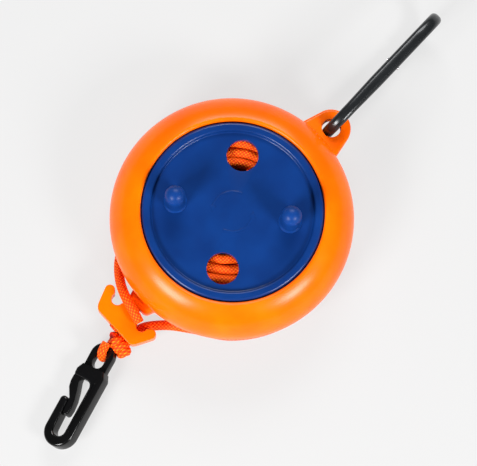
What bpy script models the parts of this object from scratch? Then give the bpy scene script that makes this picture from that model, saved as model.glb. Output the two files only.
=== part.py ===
"""Hand-wound cord reel: a round two-shell case, a spool with finger pegs, a carabiner on an eyelet,
and a cord that leaves through a spout, with a cleat, a stopper knot and a snap hook on it.

The reel lies on its flat back. Z is the spool's axis, +X points to the eyelet and -X to the spout.
"""

import math

import bmesh
import bpy
from mathutils import Matrix, Vector

MM = 0.001
GAP = 0.3 * MM

# Case: two shells that meet at mid height, with a round section swept about Z.
CASE_R = 60 * MM
ROUND_R = 21 * MM
ROUND_CENTRE_R = CASE_R - ROUND_R
SPLIT_Z = ROUND_R
WALL = 2.5 * MM
LIP_R = 44.6 * MM
LIP_BASE_Z = 37.2 * MM
LIP_WALL = 2.2 * MM
POST_R = 7 * MM
POST_TOP_Z = 21 * MM

# Eyelet tab, half of it on each shell.
EYELET_X = 66.6 * MM
EYELET_R = 9.7 * MM
EYELET_HOLE_R = 4.7 * MM
TAB_ROOT_HALF = 13.2 * MM
TAB_ROOT_X = 54 * MM
TAB_HALF_T = 3 * MM

# Spout, on the rear shell.
SPOUT_Z = 10.5 * MM
SPOUT_END_X = -63.2 * MM
SPOUT_ROOT_X = -52 * MM
SPOUT_END_HALF = 6 * MM
SPOUT_ROOT_HALF = 9.6 * MM
SPOUT_HALF_H = 4.9 * MM
SPOUT_BORE_R = 3.4 * MM

# Screws that join the shells.
SCREW_ANGLES = (45, 135, 225, 315)
SCREW_RING_R = 52.3 * MM
SCREW_R = 1.5 * MM
SCREW_HEAD_R = 2.8 * MM
SCREW_HEAD_Z = 5.6 * MM
SCREW_SEAT_Z = 8 * MM
SCREW_TIP_Z = 29 * MM
BOSS_R = 3.6 * MM

# Spool.
SPOOL_TURN = math.radians(37.6)
DISC_R = 44 * MM
DISC_TOP_Z = 40 * MM
DISC_FLOOR_Z = 37.6 * MM
DISC_RIM_INNER_R = 39.6 * MM
DISC_UNDER_Z = 34.6 * MM
DISC_SKIRT_R = 46.2 * MM
DISC_SKIRT_Z = 36.6 * MM
FEATURE_R = 28.2 * MM
WINDOW_R = 7.8 * MM
PEG_R = 5 * MM
PEG_TOP_Z = 57 * MM
PEG_FOOT_R = 5.7 * MM
DRUM_R = 17.5 * MM
DRUM_WALL = 2.5 * MM
FLANGE_R = 46.5 * MM
FLANGE_Z = 5.2 * MM
FLANGE_T = 2.2 * MM
DRUM_TOP_Z = DISC_UNDER_Z - GAP
WEB_Z = 18 * MM
WEB_T = 2.8 * MM
BUSH_R = 8.3 * MM
HUB_R = 10.6 * MM
CLEAR = 0.08 * MM
SPOOL_SCREW_RING_R = 12.5 * MM
SPOOL_SCREW_ANGLES = (30, 150, 270)

# Cord and what is on it.
CORD_R = 2.5 * MM
WINDING_R = 40.5 * MM
WRAP_R = 55.6 * MM
TABLE_Z = 2.6 * MM
CLEAT_BACK_X = -78.3 * MM
CLEAT_LOW_Z = 6.3 * MM
CLEAT_HIGH_Z = 14.7 * MM
CLEAT_BORE_R = 3 * MM
NOTCH_X = -67.8 * MM
NOTCH_Y = 8.9 * MM
NOTCH_R = 2.9 * MM
HUMP_X = -66.2 * MM
HORN_X = -67.3 * MM
HORN_Y = 14.9 * MM
HORN_R = 2.5 * MM
KNOT_AT = Vector((-81.7 * MM, -6.8 * MM, 6.6 * MM))
KNOT_R = Vector((2.9 * MM, 7.2 * MM, 4.4 * MM))

# Snap hook.
HOOK_AT = Vector((-85.4 * MM, -4.4 * MM, 7.1 * MM))
HOOK_LONG = 56.5 * MM
HOOK_HALF = 8.2 * MM
HOOK_HALF_T = 3.8 * MM
HOOK_EYE_R = 6.4 * MM
HOOK_EYE_HALF_T = 1.8 * MM
HOOK_SLOT_R = 3.2 * MM
HOOK_HEADING = math.radians(199.3)
HOOK_ROLL = math.radians(24)
TONGUE_PIVOT = (22.3 * MM, -6.4 * MM)

# Carabiner.
CARABINER_HALF = 13 * MM
CARABINER_BAR_R = 3 * MM
CARABINER_TURN = math.radians(4.8)
CARABINER_NOSE_DOWN = math.radians(3.1)
CARABINER_LEAN = math.radians(6.6)
CARABINER_AT = Vector((EYELET_X - 4.3 * MM, 0, 20.2 * MM))
GATE_R = 2.6 * MM
GATE_HINGE_U = 15.8 * MM
GATE_END_U = 60.5 * MM
NOSE_PIN_U = 55.2 * MM
TONGUE_HALF_T = 0.9 * MM
SLOT_HALF_T = 1.2 * MM
RIVET_R = 0.8 * MM

ROUND_STEPS = 38


def clear_scene():
    for obj in list(bpy.data.objects):
        bpy.data.objects.remove(obj)


def new_collection(name):
    collection = bpy.data.collections.new(name)
    bpy.context.scene.collection.children.link(collection)
    return collection


def plastic(name, colour, roughness, metallic=0.0):
    material = bpy.data.materials.new(name)
    material.use_nodes = True
    shader = material.node_tree.nodes["Principled BSDF"]
    shader.inputs["Base Color"].default_value = (*colour, 1.0)
    shader.inputs["Roughness"].default_value = roughness
    shader.inputs["Metallic"].default_value = metallic
    material.diffuse_color = (*colour, 1.0)
    return material


clear_scene()
PARTS = new_collection("cord_reel")
CUTTERS = new_collection("cutters")

ORANGE = plastic("orange_shell", (1.0, 0.17, 0.002), 0.28)
BLUE = plastic("blue_disc", (0.005, 0.04, 0.25), 0.3)
BLACK = plastic("black_plastic", (0.01, 0.01, 0.011), 0.3)
CORD = plastic("orange_cord", (0.9, 0.08, 0.01), 0.75)
NYLON = plastic("nylon", (0.75, 0.73, 0.68), 0.5)
STEEL = plastic("bright_steel", (0.65, 0.65, 0.67), 0.25, 1.0)
ANODISED = plastic("black_anodised", (0.012, 0.013, 0.015), 0.25, 0.6)


def link(obj, material=None, collection=None):
    (collection or PARTS).objects.link(obj)
    if material:
        obj.data.materials.append(material)
    if collection is CUTTERS:
        obj.hide_render = True
        obj.display_type = "WIRE"
    return obj


def object_of(bm, name, material=None, collection=None):
    bmesh.ops.recalc_face_normals(bm, faces=bm.faces)
    mesh = bpy.data.meshes.new(name)
    bm.to_mesh(mesh)
    bm.free()
    return link(bpy.data.objects.new(name, mesh), material, collection)


def settled(obj):
    """Replaces an object's data with its evaluated mesh, seams welded, and drops its modifiers."""
    bpy.context.view_layer.update()
    graph = bpy.context.evaluated_depsgraph_get()
    mesh = bpy.data.meshes.new_from_object(obj.evaluated_get(graph))
    bm = bmesh.new()
    bm.from_mesh(mesh)
    bmesh.ops.remove_doubles(bm, verts=bm.verts, dist=1e-6)
    bmesh.ops.dissolve_degenerate(bm, edges=bm.edges, dist=1e-6)
    bmesh.ops.recalc_face_normals(bm, faces=bm.faces)
    bm.to_mesh(mesh)
    bm.free()
    made = bpy.data.objects.new("settling", mesh)
    made.matrix_world = obj.matrix_world.copy()
    made.hide_render = obj.hide_render
    made.display_type = obj.display_type
    for collection in obj.users_collection:
        collection.objects.link(made)
    name = obj.name
    bpy.data.objects.remove(obj)
    made.name = name
    return made


def shaded(obj, angle=35):
    obj.data.shade_smooth()
    obj.data.set_sharp_from_angle(angle=math.radians(angle))
    return obj


def turned(name, profile, material=None, collection=None, steps=ROUND_STEPS):
    """A solid turned about Z. The profile is (radius, height) pairs, and one on the axis stays open there."""
    mesh = bpy.data.meshes.new(name)
    count = len(profile)
    edges = [(i, i + 1) for i in range(count - 1)]
    if profile[0][0] or profile[-1][0]:
        edges.append((count - 1, 0))
    mesh.from_pydata([(r, 0, z) for r, z in profile], edges, [])
    obj = link(bpy.data.objects.new(name, mesh), material, collection)
    screw = obj.modifiers.new("turn", "SCREW")
    screw.steps = screw.render_steps = steps
    screw.use_merge_vertices = True
    screw.merge_threshold = 1e-5
    return settled(obj)


def arc(centre_r, centre_z, radius, start, end, count):
    """Points (r, z) on an arc, angles in degrees from +r towards +z."""
    angles = [math.radians(start + (end - start) * i / count) for i in range(count + 1)]
    return [(centre_r + radius * math.cos(a), centre_z + radius * math.sin(a)) for a in angles]


def cylinder(name, radius, low, high, at=(0, 0), material=None, collection=None, sides=24, taper=1.0):
    bm = bmesh.new()
    bmesh.ops.create_cone(bm, cap_ends=True, segments=sides, radius1=radius, radius2=radius * taper,
                          depth=high - low)
    bmesh.ops.translate(bm, verts=bm.verts, vec=(at[0], at[1], (low + high) / 2))
    return object_of(bm, name, material, collection)


def box(name, low, high, material=None, collection=None):
    bm = bmesh.new()
    bmesh.ops.create_cube(bm, size=1)
    size = Vector(high) - Vector(low)
    bmesh.ops.scale(bm, verts=bm.verts, vec=size)
    bmesh.ops.translate(bm, verts=bm.verts, vec=(Vector(low) + Vector(high)) / 2)
    return object_of(bm, name, material, collection)


def plate(name, outline, low, high, material=None, collection=None, bevel=0.0, segments=2):
    """A flat piece: a closed outline of (x, y) pairs raised from low to high, its edges rounded."""
    bm = bmesh.new()
    face = bm.faces.new([bm.verts.new((x, y, low)) for x, y in outline])
    raised = bmesh.ops.extrude_face_region(bm, geom=[face])
    moved = [v for v in raised["geom"] if isinstance(v, bmesh.types.BMVert)]
    bmesh.ops.translate(bm, verts=moved, vec=(0, 0, high - low))
    obj = object_of(bm, name, material, collection)
    if bevel:
        rounding = obj.modifiers.new("edges", "BEVEL")
        rounding.width = bevel
        rounding.segments = segments
        rounding.limit_method = "ANGLE"
        rounding.angle_limit = math.radians(50)
        obj = settled(obj)
    return obj


def combine(obj, operation, others):
    """Cuts, joins or keeps what is common with other objects, which are used up."""
    for other in others:
        boolean = obj.modifiers.new(operation.lower(), "BOOLEAN")
        boolean.operation = operation
        boolean.object = other
        boolean.solver = "EXACT"
    made = settled(obj)
    for other in others:
        bpy.data.objects.remove(other)
    return made


def spread(points, spacing):
    """Points at an even spacing along a smooth curve through the given ones."""
    ends = [points[0] * 2 - points[1]] + points + [points[-1] * 2 - points[-2]]
    dense = []
    for i in range(1, len(ends) - 2):
        a, b, c, d = ends[i - 1:i + 3]
        for step in range(20):
            t = step / 20
            dense.append(0.5 * ((2 * b) + (c - a) * t + (2 * a - 5 * b + 4 * c - d) * t ** 2
                                + (3 * b - a - 3 * c + d) * t ** 3))
    dense.append(points[-1])
    total = sum((q - p).length for p, q in zip(dense, dense[1:]))
    count = max(2, round(total / spacing))
    made, travelled, target = [dense[0]], 0.0, total / count
    for p, q in zip(dense, dense[1:]):
        length = (q - p).length
        while travelled + length >= target - 1e-9 and len(made) < count:
            made.append(p.lerp(q, (target - travelled) / length))
            target += total / count
        travelled += length
    return made + [dense[-1]]


def tube(name, points, radius, material, collection=None, resolution=2):
    curve = bpy.data.curves.new(name, "CURVE")
    curve.dimensions = "3D"
    curve.bevel_depth = radius
    curve.bevel_resolution = resolution
    curve.use_fill_caps = True
    spline = curve.splines.new("POLY")
    spline.points.add(len(points) - 1)
    for point, place in zip(spline.points, points):
        point.co = (*place, 1)
    return link(bpy.data.objects.new(name, curve), material, collection)


def polar(radius, degrees):
    return radius * math.cos(math.radians(degrees)), radius * math.sin(math.radians(degrees))


def move(obj, matrix):
    """Moves an object's own points, so that its origin stays where it is."""
    obj.data.transform(matrix)
    return obj


def pivot(obj, place):
    """Puts an object's origin on its joint's axis, leaving its shape in place."""
    obj.data.transform(Matrix.Translation(-Vector(place)))
    obj.location = place
    return obj


# ---------------------------------------------------------------- case

def eyelet_outline():
    """The tab seen from above: a round nose about the hole, its sides tangent to it out to the root."""
    reach = Vector((EYELET_X - TAB_ROOT_X, TAB_ROOT_HALF))
    root_angle = math.pi - math.atan2(reach.y, reach.x)
    tangent = math.degrees(root_angle - math.acos(EYELET_R / reach.length))
    nose = arc(EYELET_X, 0, EYELET_R, -tangent, tangent, 16)
    return [(TAB_ROOT_X, -TAB_ROOT_HALF)] + nose + [(TAB_ROOT_X, TAB_ROOT_HALF)]


def rounded_tab(face_z, past_z):
    """Half a tab: its outer face has rounded edges, and its other end runs past the split, to be trimmed."""
    tab = plate("tab", eyelet_outline(), min(face_z, past_z), max(face_z, past_z))
    bm = bmesh.new()
    bm.from_mesh(tab.data)
    rim = [e for e in bm.edges if all(abs(v.co.z - face_z) < 1e-6 for v in e.verts)]
    bmesh.ops.bevel(bm, geom=rim, offset=1.6 * MM, segments=3, affect="EDGES", profile=0.5)
    bm.to_mesh(tab.data)
    bm.free()
    return tab


def beyond_split(low, high):
    """What a shell is trimmed by, so that its edge is one flat face."""
    return box("beyond", (-90 * MM, -90 * MM, low), (90 * MM, 90 * MM, high), None, CUTTERS)


def hole(at, radius, low, high, sides=24):
    return cylinder("hole", radius, low, high, at, None, CUTTERS, sides)


def front_profile():
    outer = arc(ROUND_CENTRE_R, ROUND_R, ROUND_R, 70, -4, 7)
    inner = arc(ROUND_CENTRE_R, ROUND_R, ROUND_R - WALL, -4, 64, 3)
    lip = [(LIP_R + LIP_WALL, inner[-1][1] - 0.4 * MM), (LIP_R + LIP_WALL, LIP_BASE_Z), (LIP_R, LIP_BASE_Z)]
    rolled = arc(LIP_R + 1.3 * MM, outer[0][1] - 1.45 * MM, 1.3 * MM, 180, 100, 2)
    return outer + inner + lip + rolled


def rear_profile():
    outer = arc(ROUND_CENTRE_R, ROUND_R, ROUND_R, 4, -90, 7)
    inner = arc(ROUND_CENTRE_R, ROUND_R, ROUND_R - WALL, -90, 4, 4)
    post = [(0, POST_TOP_Z), (POST_R, POST_TOP_Z), (POST_R, WALL + 0.6 * MM), (POST_R + 0.6 * MM, WALL)]
    return post + inner + outer + [(0, 0)]


def round_core():
    """The case's round section, drawn in by half a wall: what a boss is kept within."""
    half = arc(ROUND_CENTRE_R, ROUND_R, ROUND_R - WALL / 2, 89, -89, 16)
    return turned("core", [(0, half[0][1])] + half + [(0, half[-1][1])], None, CUTTERS, steps=40)


def bosses(radius, low, high):
    made = [cylinder("boss", radius, low, high, polar(SCREW_RING_R, angle), sides=12)
            for angle in SCREW_ANGLES]
    return [combine(boss, "INTERSECT", [round_core()]) for boss in made]


def screw_holes(radius, low, high, sides=10):
    return [hole(polar(SCREW_RING_R, angle), radius, low, high, sides) for angle in SCREW_ANGLES]


def front_case():
    case = turned("front_case", front_profile(), ORANGE)
    tab = rounded_tab(SPLIT_Z + TAB_HALF_T, SPLIT_Z - 1.2 * MM)
    case = combine(case, "UNION", [tab] + bosses(BOSS_R, SPLIT_Z - 0.9 * MM, 36 * MM))
    cutters = [beyond_split(SPLIT_Z - 10 * MM, SPLIT_Z + GAP / 2),
               hole((EYELET_X, 0), EYELET_HOLE_R, 10 * MM, 32 * MM)]
    cutters += screw_holes(SCREW_R + CLEAR, 10 * MM, SCREW_TIP_Z + 1 * MM)
    return shaded(combine(case, "DIFFERENCE", cutters))


def rear_case():
    case = turned("rear_case", rear_profile(), ORANGE)
    tab = rounded_tab(SPLIT_Z - TAB_HALF_T, SPLIT_Z + 1.2 * MM)
    spout = plate("spout", [(SPOUT_ROOT_X, -SPOUT_ROOT_HALF), (SPOUT_ROOT_X, SPOUT_ROOT_HALF),
                            (SPOUT_END_X, SPOUT_END_HALF), (SPOUT_END_X, -SPOUT_END_HALF)],
                  SPOUT_Z - SPOUT_HALF_H, SPOUT_Z + SPOUT_HALF_H, bevel=1.8 * MM, segments=3)
    case = combine(case, "UNION", [tab, spout] + bosses(BOSS_R + 0.8 * MM, 2 * MM, SPLIT_Z + 0.9 * MM))
    cutters = [beyond_split(SPLIT_Z - GAP / 2, SPLIT_Z + 10 * MM),
               hole((EYELET_X, 0), EYELET_HOLE_R, 10 * MM, 32 * MM),
               tube_along_x(SPOUT_BORE_R, SPOUT_END_X - 1 * MM, -45 * MM, SPOUT_Z),
               tube_along_x(SPOUT_BORE_R, -59 * MM, -50 * MM, SPOUT_Z, name="funnel", taper=2.1),
               hole((0, 0), 1.3 * MM, 6 * MM, POST_TOP_Z + 1 * MM, sides=14)]
    cutters += screw_holes(SCREW_R + 2 * CLEAR, 1 * MM, 22 * MM)
    cutters += screw_holes(SCREW_HEAD_R + 0.3 * MM, -1 * MM, SCREW_SEAT_Z, 16)
    return shaded(combine(case, "DIFFERENCE", cutters))


def tube_along_x(radius, low, high, z, name="bore", taper=1.0):
    made = cylinder(name, radius, low, high, (0, 0), None, CUTTERS, 28, taper)
    return move(made, Matrix.Translation((0, 0, z)) @ Matrix.Rotation(math.pi / 2, 4, "Y"))


def screw(name, at, head_z, seat_z, tip_z, head_r, radius, up=True):
    """A pan-head screw with a cross recess. up says that its tip is above its head."""
    head = cylinder(name, head_r, min(head_z, seat_z), max(head_z, seat_z), at, STEEL, sides=14)
    shank_low, shank_high = sorted((seat_z - 0.1 * MM if up else seat_z + 0.1 * MM, tip_z))
    shank = cylinder("shank", radius, shank_low, shank_high, at, sides=8)
    depth = abs(seat_z - head_z) * 0.55
    mouth = (head_z - 0.5 * MM, head_z + depth) if up else (head_z - depth, head_z + 0.5 * MM)
    slots = []
    for w, h in ((head_r * 0.6, 0.35 * MM), (0.35 * MM, head_r * 0.6)):
        slots.append(box("slot", (at[0] - w, at[1] - h, min(mouth)), (at[0] + w, at[1] + h, max(mouth)),
                         None, CUTTERS))
    made = combine(head, "UNION", [shank])
    return shaded(combine(made, "DIFFERENCE", slots))


def case_screws():
    for number, angle in enumerate(SCREW_ANGLES, 1):
        screw(f"case_screw_{number}", polar(SCREW_RING_R, angle), SCREW_HEAD_Z, SCREW_SEAT_Z - GAP / 2,
              SCREW_TIP_Z, SCREW_HEAD_R, SCREW_R)


# ---------------------------------------------------------------- spool

def spool_disc():
    """The blue front flange: raised round rim, shallow floor, a step under the case's lip."""
    profile = [(0, DISC_UNDER_Z), (DISC_SKIRT_R - 0.6 * MM, DISC_UNDER_Z),
               (DISC_SKIRT_R, DISC_UNDER_Z + 0.6 * MM), (DISC_SKIRT_R, DISC_SKIRT_Z),
               (DISC_R, DISC_SKIRT_Z), (DISC_R, DISC_TOP_Z - 1.6 * MM)]
    profile += arc(DISC_R - 1.6 * MM, DISC_TOP_Z - 1.6 * MM, 1.6 * MM, 20, 90, 2)
    profile += arc(DISC_RIM_INNER_R + 1.1 * MM, DISC_TOP_Z - 1.1 * MM, 1.1 * MM, 90, 180, 2)
    profile += arc(DISC_RIM_INNER_R - 0.9 * MM, DISC_FLOOR_Z + 0.9 * MM, 0.9 * MM, 0, -90, 2)
    profile += [(0, DISC_FLOOR_Z)]
    disc = turned("spool_disc", profile, BLUE)
    boss_low = WEB_Z + WEB_T + GAP
    bosses = [cylinder("boss", 2.1 * MM, boss_low, DISC_UNDER_Z + 1 * MM,
                       polar(SPOOL_SCREW_RING_R, a), sides=10) for a in SPOOL_SCREW_ANGLES]
    disc = combine(disc, "UNION", bosses)
    turn = math.degrees(SPOOL_TURN)
    cutters = [hole(polar(FEATURE_R, turn + a), WINDOW_R, 30 * MM, 45 * MM, sides=24) for a in (0, 180)]
    cutters += [hole(polar(FEATURE_R, turn + a), 2.6 * MM, 35.6 * MM, 45 * MM, sides=12) for a in (90, 270)]
    cutters += [hole(polar(SPOOL_SCREW_RING_R, a), 1.25 * MM, 10 * MM, 34 * MM, sides=12)
                for a in SPOOL_SCREW_ANGLES]
    return shaded(combine(disc, "DIFFERENCE", cutters), 40)


def finger_peg(name, degrees):
    """A domed peg with a small foot, its spigot in the disc."""
    x, y = polar(FEATURE_R, degrees)
    foot_z = DISC_FLOOR_Z + GAP
    dome = [(0, PEG_TOP_Z)] + arc(0, PEG_TOP_Z - PEG_R, PEG_R, 75, 0, 5)
    foot = [(PEG_R, foot_z + 1.4 * MM), (PEG_FOOT_R, foot_z + 0.7 * MM), (PEG_FOOT_R, foot_z),
            (2.3 * MM, foot_z), (2.3 * MM, 36 * MM), (0, 36 * MM)]
    peg = turned(name, dome + foot, BLUE, steps=20)
    return shaded(pivot(move(peg, Matrix.Translation((x, y, 0))), (x, y, foot_z)), 40)


def spool_core():
    """Drum and rear flange in one, with a web that carries the hub."""
    flange_top = FLANGE_Z + FLANGE_T
    inner = DRUM_R - DRUM_WALL
    profile = [(DRUM_R, DRUM_TOP_Z), (DRUM_R, flange_top), (FLANGE_R - 0.5 * MM, flange_top),
               (FLANGE_R, flange_top - 0.5 * MM), (FLANGE_R, FLANGE_Z + 0.5 * MM),
               (FLANGE_R - 0.5 * MM, FLANGE_Z), (BUSH_R + CLEAR, FLANGE_Z),
               (BUSH_R + CLEAR, POST_TOP_Z + GAP), (HUB_R - 1 * MM, POST_TOP_Z + GAP),
               (HUB_R - 1 * MM, WEB_Z + WEB_T), (inner, WEB_Z + WEB_T), (inner, DRUM_TOP_Z)]
    core = turned("spool_core", profile, BLUE)
    recess = turned("recess", [(inner, WEB_Z), (inner, FLANGE_Z - 1 * MM), (HUB_R, FLANGE_Z - 1 * MM),
                               (HUB_R, WEB_Z)], None, CUTTERS)
    cutters = [recess]
    cutters += [hole(polar(SPOOL_SCREW_RING_R, a), 1.3 * MM, WEB_Z - 1 * MM, WEB_Z + WEB_T + 1 * MM, sides=12)
                for a in SPOOL_SCREW_ANGLES]
    return shaded(combine(core, "DIFFERENCE", cutters))


def spool_screws():
    for number, angle in enumerate(SPOOL_SCREW_ANGLES, 1):
        screw(f"spool_screw_{number}", polar(SPOOL_SCREW_RING_R, angle), WEB_Z - GAP - 1.4 * MM, WEB_Z - GAP,
              31 * MM, 1.7 * MM, 1.1 * MM)


def axle_parts():
    low, high = FLANGE_Z - 0.6 * MM, POST_TOP_Z - 0.5 * MM
    bush = turned("axle_bush", [(BUSH_R, high), (BUSH_R, low), (POST_R + CLEAR, low),
                                (POST_R + CLEAR, high)], NYLON, steps=24)
    thrust = turned("thrust_washer", [(20 * MM, FLANGE_Z - GAP), (20 * MM, WALL + GAP),
                                      (POST_R + 1.9 * MM, WALL + GAP), (POST_R + 1.9 * MM, FLANGE_Z - GAP)],
                    NYLON, steps=24)
    washer_low = POST_TOP_Z + 2 * GAP
    washer = turned("axle_washer", [(9.6 * MM, washer_low + 1 * MM), (9.6 * MM, washer_low),
                                    (1.9 * MM, washer_low), (1.9 * MM, washer_low + 1 * MM)], STEEL, steps=20)
    seat = washer_low + 1 * MM + GAP
    bolt = screw("axle_screw", (0, 0), seat + 2.2 * MM, seat, 9 * MM, 3.2 * MM, 1.2 * MM, up=False)
    return [shaded(piece) for piece in (bush, thrust, washer)] + [bolt]


def cord_winding():
    """The wound cord as one turned ring, with a soft bulge to its outside."""
    low, high = FLANGE_Z + FLANGE_T + GAP, DISC_UNDER_Z - 2 * GAP
    middle = (low + high) / 2
    bulge = [(WINDING_R - 2 * MM, high), (WINDING_R, high - 3 * MM), (WINDING_R + 1 * MM, middle),
             (WINDING_R, low + 3 * MM), (WINDING_R - 2 * MM, low)]
    profile = bulge + [(DRUM_R + GAP, low), (DRUM_R + GAP, high)]
    return shaded(turned("cord_winding", profile, CORD, steps=36), 50)


# ---------------------------------------------------------------- cord, cleat and knot

def route(*places):
    return [Vector(place) * MM for place in places]


LEAD_IN = route((-43.6, 13.2, 10.8), (-47.2, 7.2, 10.6), (-51.4, 2.6, 10.5), (-56, 0.4, 10.5), (-61, 0, 10.5),
                (-67, 0, 10.5), (-73, 0, 10.5), (-79, 0, 10.5))
TAIL_OUT = route((-76, -7.6, 2.6), (-71.5, -7.7, 2.6), (-66.5, -8.9, 2.6), (-61, -12.6, 2.6),
                 (-55.8, -17.4, 2.6))
TAIL_BACK = route((-55.6, 21.6, 7.4), (-61.2, 13.9, 13), (-64.6, 5.8, 18), (-66.4, -1.6, 18.4),
                  (-67.8, -7, 16.6))
WRAP_ANGLES = (207, 508)
WRAP_POINTS = 16


def wrap():
    """Once round the case, on the table under its round shoulder."""
    first, last = WRAP_ANGLES
    turns = [first + (last - first) * i / (WRAP_POINTS - 1) for i in range(WRAP_POINTS)]
    return [Vector((*polar(WRAP_R, angle), TABLE_Z)) for angle in turns]


def cords():
    tube("cord_lead", spread(LEAD_IN, 4 * MM), CORD_R, CORD)
    tail = spread(TAIL_OUT + wrap() + TAIL_BACK, 7.5 * MM)
    for place in tail:
        place.z = max(place.z, TABLE_Z)
    tube("cord_tail", tail, CORD_R, CORD)


def cleat_outline():
    """Back edge straight, two horns that lean out, a round notch inside each, a hump between them."""
    horn = arc(HORN_X, HORN_Y, HORN_R, 110, -60, 6)
    notch = arc(NOTCH_X, NOTCH_Y, NOTCH_R, 75, 270, 8)
    half = [(CLEAT_BACK_X, 10.8 * MM), (CLEAT_BACK_X + 0.9 * MM, 12.6 * MM),
            (CLEAT_BACK_X + 3.4 * MM, 14.2 * MM)] + horn + notch
    half += [(HUMP_X - 0.6 * MM, 5.6 * MM), (HUMP_X, 4.6 * MM)]
    return half + [(x, -y) for x, y in reversed(half)]


def cleat():
    piece = plate("cleat", cleat_outline(), CLEAT_LOW_Z, CLEAT_HIGH_Z, ORANGE, bevel=1 * MM, segments=2)
    bore = tube_along_x(CLEAT_BORE_R, CLEAT_BACK_X - 2 * MM, HUMP_X + 2 * MM, SPOUT_Z)
    return shaded(combine(piece, "DIFFERENCE", [bore]), 40)


def ball(name, at, radii, material):
    bm = bmesh.new()
    bmesh.ops.create_uvsphere(bm, u_segments=14, v_segments=9, radius=1)
    bmesh.ops.scale(bm, verts=bm.verts, vec=radii)
    bmesh.ops.translate(bm, verts=bm.verts, vec=at)
    return shaded(object_of(bm, name, material), 60)


# ---------------------------------------------------------------- snap hook

def hook_place():
    return (Matrix.Translation(HOOK_AT) @ Matrix.Rotation(HOOK_HEADING, 4, "Z")
            @ Matrix.Rotation(HOOK_ROLL, 4, "X"))


def hook_outline():
    """Eye, shoulders, full limb, round end and nose, seen square on, the eye's top at the origin."""
    end = HOOK_LONG - HOOK_HALF
    inner = HOOK_HALF - 3.7 * MM
    nose_half = 1.8 * MM
    nose_s = 34 * MM
    eye = arc(HOOK_EYE_R, 0, HOOK_EYE_R, 180, 90, 6)
    foot = arc(end, 0, HOOK_HALF, 90, -90, 12)
    nose = arc(nose_s, -HOOK_HALF + nose_half, nose_half, -90, -270, 6)
    hollow = arc(end - 0.4 * MM, -0.1 * MM, inner, -90, 90, 10)
    top = arc(24.4 * MM, 0.6 * MM, 3.8 * MM, 90, 180, 4)
    right = [(12.5 * MM, 6.3 * MM), (14.6 * MM, 6.9 * MM), (17 * MM, HOOK_HALF)]
    left = [(20.6 * MM, -4.6 * MM), (20.6 * MM, -8 * MM), (17 * MM, -HOOK_HALF), (14.6 * MM, -6.9 * MM),
            (12.5 * MM, -6.3 * MM)]
    return eye + right + foot + nose + hollow + top + left + [(x, -y) for x, y in reversed(eye[1:])]


def slot_outline(first, last, half):
    return arc(last, 0, half, 90, -90, 6) + arc(first, 0, half, -90, -270, 6)


def snap_hook():
    body = plate("snap_hook", hook_outline(), -HOOK_HALF_T, HOOK_HALF_T, BLACK, bevel=1 * MM, segments=2)
    slot = plate("slot", slot_outline(3.6 * MM + HOOK_SLOT_R, 13.4 * MM - HOOK_SLOT_R, HOOK_SLOT_R),
                 -6 * MM, 6 * MM, None, CUTTERS)
    faces = [box("face", (-2 * MM, -12 * MM, low), (13.8 * MM, 12 * MM, low + 6 * MM), None, CUTTERS)
             for low in (HOOK_EYE_HALF_T, -HOOK_EYE_HALF_T - 6 * MM)]
    body = combine(body, "DIFFERENCE", [slot] + faces)
    return shaded(move(body, hook_place()), 40)


def snap_hook_gate():
    """A springy tongue from the shoulder to the inside of the nose."""
    outline = [(21 * MM, -7.7 * MM), (23.5 * MM, -8.1 * MM), (27 * MM, -7.2 * MM), (31.2 * MM, -4.6 * MM),
               (39.3 * MM, -4 * MM), (39.9 * MM, -3 * MM), (39.2 * MM, -2 * MM), (30 * MM, -2.6 * MM),
               (24 * MM, -4.4 * MM), (21 * MM, -4.8 * MM)]
    gate = plate("snap_hook_gate", outline, -2.9 * MM, 2.9 * MM, BLACK, bevel=0.5 * MM, segments=2)
    gate = move(gate, hook_place())
    return shaded(pivot(gate, hook_place() @ Vector((*TONGUE_PIVOT, 0))), 40)


def hook_loop():
    """The short loop of cord from the knot over the eye's rim, down through its slot and back under."""
    loop = [hook_place() @ (Vector((s, t, h)) * MM) for s, t, h in
            ((0.2, 0.8, 4.7), (2, 0.7, 4.7), (4.5, 0.5, 4.2), (6.3, 0.2, 2.1), (6.8, 0, 0), (6.3, -0.2, -2.1),
             (4.5, -0.5, -4.2), (2, -0.6, -4.7), (0.2, -0.8, -4.7))]
    return tube("hook_loop", spread(loop, 2.2 * MM), 2.3 * MM, CORD)


# ---------------------------------------------------------------- carabiner

def carabiner_place():
    """Long axis along local X, width along local Y with the gate at -Y, standing on its gate, leaning."""
    return (Matrix.Translation(CARABINER_AT) @ Matrix.Rotation(CARABINER_TURN, 4, "Z")
            @ Matrix.Rotation(CARABINER_NOSE_DOWN, 4, "Y")
            @ Matrix.Rotation(math.pi / 2 + CARABINER_LEAN, 4, "X"))


FRAME_LINE = [(12.4, -12.7), (8.6, -11), (5.1, -7.6), (3.2, -3), (3.1, 2.5), (4.6, 7.4), (8.6, 11.1),
              (15, 12.6), (26, 13), (43, 13), (60.5, 13), (69, 12.7), (76.2, 10.2), (80.7, 5.4), (82.2, -0.2),
              (80.7, -6), (76.2, -10.6), (69.4, -12.8), (61.9, -13)]


def along_width(name, radius, at, half, material=None, collection=None, sides=14):
    """A cylinder across the carabiner's thickness, in its own frame."""
    return cylinder(name, radius, -half, half, at, material, collection, sides)


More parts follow.
